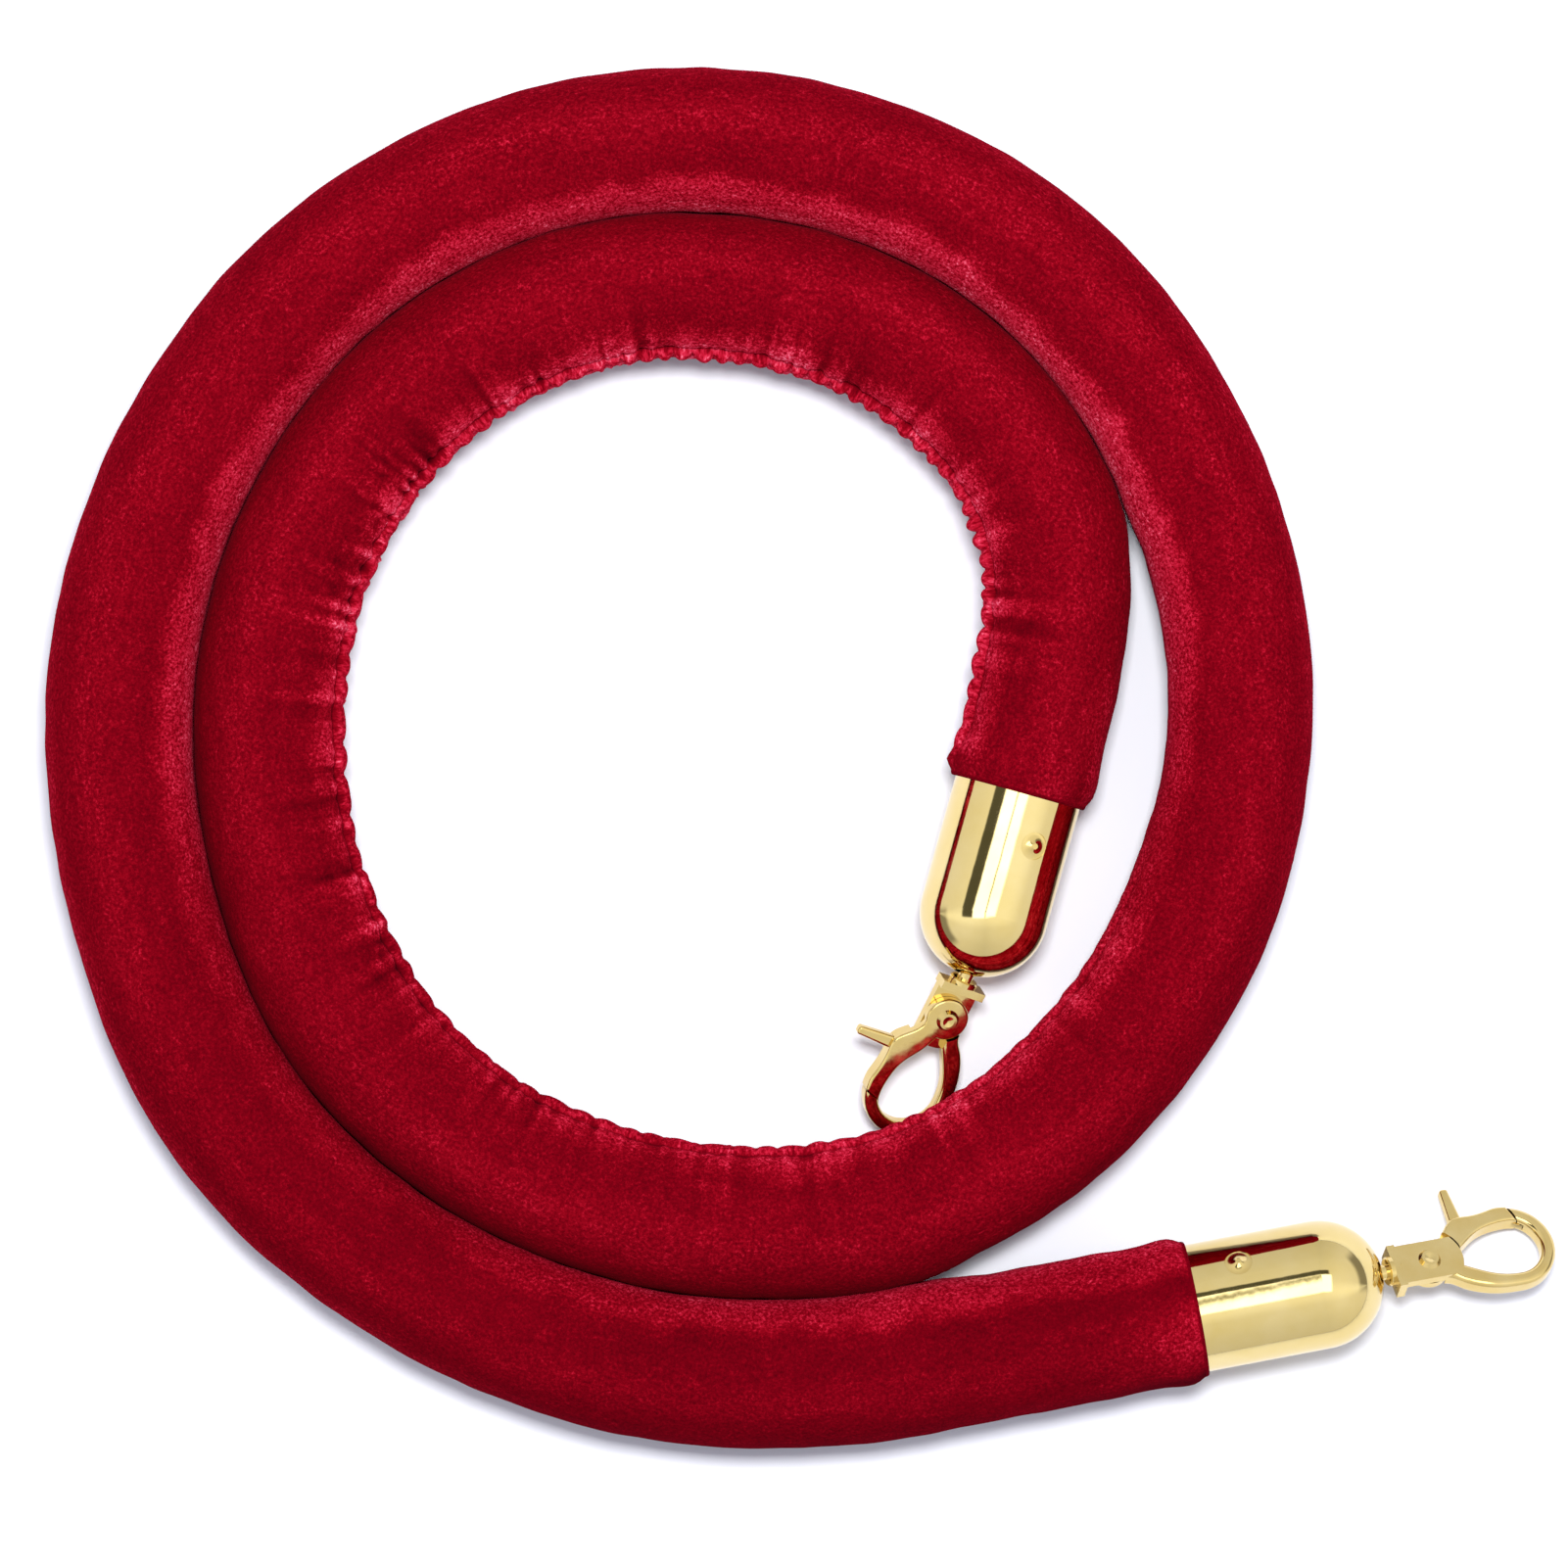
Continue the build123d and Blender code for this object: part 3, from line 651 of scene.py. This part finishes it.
# %% Store the nap and its painted light and shade on the sleeve
HEM_LEAN = 0.40
CENTRE_LEAN = 0.3               # of the two points that close the sleeve inside the caps
rings_before = len(first_hem)
pile = np.full((len(all_rings), len(section)), HEM_LEAN)
pile[rings_before:rings_before + len(line)] = lean_and_painted_light
values = np.concatenate([pile.ravel(), [CENTRE_LEAN, CENTRE_LEAN]]).clip(0, 1)
attribute = sleeve_mesh.attributes.new("pile_lean_and_painted_light", "FLOAT", "POINT")
attribute.data.foreach_set("value", values.astype(np.float32))
print("pile lean from", round(values.min(), 2), "to", round(values.max(), 2))

# %% Store each point's place on the rope
# This is the place as if the rope were pulled straight, in mm, for patterns that run with it.
# Hem rings count on from the ends in steps of 1 mm.
ring_along = np.concatenate([np.arange(-rings_before, 0), along, rope_length + 1 + np.arange(len(last_hem))])
pulled_straight = np.zeros((len(all_rings), len(section), 3))
pulled_straight[:, :, 0] = ring_along[:, None]
pulled_straight[:, :, 1] = HALF_WIDTH * np.cos(angle)
pulled_straight[:, :, 2] = HALF_WIDTH * np.sin(angle)
CENTRE_PLACE = 12               # mm inside each end
centre_places = [[-CENTRE_PLACE, 0, 0], [rope_length + CENTRE_PLACE, 0, 0]]
pulled_straight = np.concatenate([pulled_straight.reshape(-1, 3), centre_places])
attribute = sleeve_mesh.attributes.new("place_on_rope", "FLOAT_VECTOR", "POINT")
attribute.data.foreach_set("vector", pulled_straight.astype(np.float32).ravel())
print("stored", len(pulled_straight), "places")

# %% [markdown]
# ## Velvet
# The real cloth is cut-pile rayon velvet, woven and dyed crimson. It has no gloss, and its
# colour comes from the lean of the pile and from the painted light and shade stored with it. An
# image texture would fix one piece of cloth for good. Instead the stored number is broken up by
# three patterns and then read as a colour: patches where a hand has pressed the cloth, about 9 mm;
# streaks of about 3 mm; and the grain of single tufts. Real tufts are 0.3 mm, which is too fine to
# show, so they are drawn at 0.7 mm. Painted glints stand for single tufts that catch the light,
# and sheen adds the light that the tips of the pile catch at a grazing angle.

# %% Velvet patterns
PATCH_SIZE = 9.0                # mm
STREAK_SIZE = 2.6
TUFT_SIZE = 0.7
velvet, tree = new_material("crimson_cut_velvet")
place = add_node(tree, "ShaderNodeAttribute", attribute_name="place_on_rope").outputs["Vector"]
stored = add_node(tree, "ShaderNodeAttribute", attribute_name="pile_lean_and_painted_light").outputs["Fac"]
# patches and streaks are drawn out along the rope, as a hand strokes it
drawn_out = add_node(tree, "ShaderNodeVectorMath", {0: place, 1: (0.4, 1.0, 1.0)}, operation="MULTIPLY")
patches = add_node(tree, "ShaderNodeTexNoise",
                   {"Vector": drawn_out, "Scale": 1 / PATCH_SIZE, "Detail": 3.0, "Roughness": 0.6})
streaks = add_node(tree, "ShaderNodeTexNoise",
                   {"Vector": drawn_out, "Scale": 1 / STREAK_SIZE, "Detail": 4.0, "Roughness": 0.65})
tufts = add_node(tree, "ShaderNodeTexNoise",
                 {"Vector": place, "Scale": 1 / TUFT_SIZE, "Detail": 2.0, "Roughness": 0.7})
print("velvet patterns of", PATCH_SIZE, STREAK_SIZE, TUFT_SIZE, "mm")

# %% Grain and painted glints
# Brushed-up pile shows its single tufts most.
grain = add_node(tree, "ShaderNodeMapRange", {"Value": stored, "From Min": 0.35, "From Max": 0.8,
                                              "To Min": 0.33, "To Max": 1.5})
# Painted glints: in some patches the tips of single tufts are painted as catching the light,
# most where the pile is up.
GLINT = 0.12
GLINT_BRUSHED_UP = 0.312
glint = add_node(tree, "ShaderNodeMapRange", {"Value": stored, "From Min": 0.50, "From Max": 0.85,
                                              "To Min": GLINT, "To Max": GLINT_BRUSHED_UP})
patch = add_node(tree, "ShaderNodeMapRange", {"Value": streaks, "From Min": 0.46, "From Max": 0.64,
                                              "To Max": glint})
glints = add_node(tree, "ShaderNodeMapRange", {"Value": tufts, "From Min": 0.50, "From Max": 0.72,
                                               "To Max": patch})

# %% Velvet colour
TONE_RANGE = 0.75               # the patterns reach past 1, and this brings them back
tone = add_node(tree, "ShaderNodeMath", {0: stored, 1: glints}, operation="ADD")
for pattern, strength in ((patches, 0.18), (streaks, 0.10), (tufts, grain)):
    centred = add_node(tree, "ShaderNodeMath", {0: pattern, 1: -0.5}, operation="ADD")
    tone = add_node(tree, "ShaderNodeMath", {0: centred, 1: strength, 2: tone}, operation="MULTIPLY_ADD")
tone = add_node(tree, "ShaderNodeMath", {0: tone, 1: TONE_RANGE}, operation="MULTIPLY")
colour = add_node(tree, "ShaderNodeValToRGB", {"Fac": tone})
fill_stops(colour.color_ramp, [(0.0, "200004"), (0.19, "4a010a"), (0.34, "6e0210"), (0.45, "880617"),
                               (0.58, "b2152e"), (0.75, "d0304c"), (1.0, "ee7890")])

# %% Velvet shader
# Velvet is rough and has no shine of its own, so its specular is 0 and its sheen low.
bump = add_node(tree, "ShaderNodeBump", {"Height": tufts, "Strength": 0.35, "Distance": 0.4 * MM})
bump = add_node(tree, "ShaderNodeBump", {"Height": streaks, "Strength": 0.35, "Distance": 0.7 * MM,
                                         "Normal": bump})
shader = add_node(tree, "ShaderNodeBsdfPrincipled",
                  {"Base Color": colour, "Roughness": 0.95, "IOR": 1.5,
                   "Specular IOR Level": 0.0, "Sheen Weight": 0.07, "Sheen Roughness": 0.4,
                   "Sheen Tint": linear("d8405c"), "Normal": bump})
finish_material(tree, shader)
sleeve_mesh.materials.append(velvet)
print("velvet made of", len(tree.nodes), "nodes")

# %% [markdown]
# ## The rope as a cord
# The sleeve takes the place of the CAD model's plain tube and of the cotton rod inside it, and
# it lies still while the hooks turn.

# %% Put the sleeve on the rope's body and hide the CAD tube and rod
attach(sleeve, "rope")
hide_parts("velvet_sleeve", "filler_rod")

# %% [markdown]
# ## Plated metal
# Caps, rivets, screws and hooks are zinc and steel, polished and plated with a pale gold finish.
# A plated surface is a mirror with a colour, so it is fully metallic with a low roughness; a
# yellow paint with a coat would mirror white and look like plastic. What gives the plate away
# as real is very little: it is a shade duller in faint patches of about 9 mm, polishing leaves
# fine scuffs, drawn here at 0.7 mm, and the thin metal underneath is never perfectly flat.

# %% Gold plate
CLOUD_SIZE = 9.0                # mm
SCUFF_SIZE = 0.7
PALE_GOLD = "e8d49c"


def gold_plate(name, hex_code, roughness, ripple):
    """Polished gold-coloured plate. ripple is how far the surface strays from flat, in mm."""
    material, tree = new_material(name)
    place = add_node(tree, "ShaderNodeTexCoord").outputs["Object"]
    clouds = add_node(tree, "ShaderNodeTexNoise",
                      {"Vector": place, "Scale": 1 / (CLOUD_SIZE * MM), "Detail": 3.0, "Roughness": 0.55})
    scuffs = add_node(tree, "ShaderNodeTexNoise",
                      {"Vector": place, "Scale": 1 / (SCUFF_SIZE * MM), "Detail": 4.0, "Roughness": 0.7})
    both = add_node(tree, "ShaderNodeMath", {0: clouds, 1: scuffs}, operation="MULTIPLY")
    gloss = add_node(tree, "ShaderNodeMapRange",
                     {"Value": both, "From Min": 0.15, "From Max": 0.42,
                      "To Min": roughness * 0.6, "To Max": roughness * 1.7})
    tint = add_node(tree, "ShaderNodeMixRGB",
                    {"Fac": clouds, "Color1": linear(hex_code), "Color2": linear(PALE_GOLD)})
    bump = add_node(tree, "ShaderNodeBump", {"Height": clouds, "Strength": 1.0, "Distance": ripple * MM})
    shader = add_node(tree, "ShaderNodeBsdfPrincipled",
                      {"Base Color": tint, "Metallic": 1.0, "Roughness": gloss, "Normal": bump})
    finish_material(tree, shader)
    return material


# Drawn sheet polishes best. Castings and small screws come out of the tumbler a little duller.
cap_gold = gold_plate("polished_pale_gold_plate", "dcc274", 0.06, 0.03)
hook_gold = gold_plate("cast_pale_gold_plate", "d2b25e", 0.10, 0.06)
screw_gold = gold_plate("screw_gold_plate", "d8b85a", 0.12, 0.04)
print("plated finishes", cap_gold.name, hook_gold.name, screw_gold.name)

# %% [markdown]
# ## Steel, wood and cotton inside
# The washers and springs are bright drawn steel, the plugs in the rope's ends are turned beech,
# and the core is raw cotton waste. They are hidden or tiny, so a detailed material for each
# would be wasted. They share one recipe, a grain in the colour and the roughness, with each
# one's own colours, grain size, metallic and roughness.


# %% Steel, beech and cotton
def plain_finish(name, hex_dark, hex_light, grain_mm, metallic, roughness):
    """A finish with one grain in its colour and roughness."""
    material, tree = new_material(name)
    place = add_node(tree, "ShaderNodeTexCoord").outputs["Object"]
    grain = add_node(tree, "ShaderNodeTexNoise",
                     {"Vector": place, "Scale": 1 / (grain_mm * MM), "Detail": 4.0, "Roughness": 0.6})
    colour = add_node(tree, "ShaderNodeValToRGB", {"Fac": grain})
    fill_stops(colour.color_ramp, [(0.3, hex_dark), (0.7, hex_light)])
    rough = add_node(tree, "ShaderNodeMapRange", {"Value": grain, "To Min": roughness * 0.7,
                                                  "To Max": roughness * 1.3})
    shader = add_node(tree, "ShaderNodeBsdfPrincipled",
                      {"Base Color": colour, "Metallic": metallic, "Roughness": rough})
    finish_material(tree, shader)
    return material


steel = plain_finish("drawn_spring_steel", "8d8f92", "c4c6c8", 1.5, 1.0, 0.3)
beech = plain_finish("turned_beech", "b98d5c", "d6b184", 2.5, 0.0, 0.6)
cotton = plain_finish("raw_cotton", "d8d0bd", "efe9da", 1.2, 0.0, 0.9)
print("inner finishes", steel.name, beech.name, cotton.name)

# %% [markdown]
# ## Finish every CAD piece
# The CAD pieces come with placeholder materials. Each piece's slots could be set one by one, but
# both ends of the rope are alike, so one list goes by the piece's name without its end letter.

# %% Finish every CAD piece
FINISHES = {
    "velvet_sleeve": velvet, "filler_rod": cotton, "end_cap": cap_gold, "core_plug": beech,
    "cap_screw_upper": screw_gold, "cap_screw_lower": screw_gold, "swivel_rivet": hook_gold,
    "swivel_washer": steel, "swivel_collar": hook_gold, "hook_body": hook_gold,
    "hook_trigger": hook_gold, "pivot_rivet": hook_gold, "trigger_spring": steel,
}
for name, node_object in frame["nodes"].items():
    piece_name = name[:-2] if name[-2:] in ("_a", "_b") else name
    for material_slot in node_object.material_slots:
        material_slot.material = FINISHES[piece_name]
print("finished", len(frame["nodes"]), "CAD nodes")

bpy.context.view_layer.update()
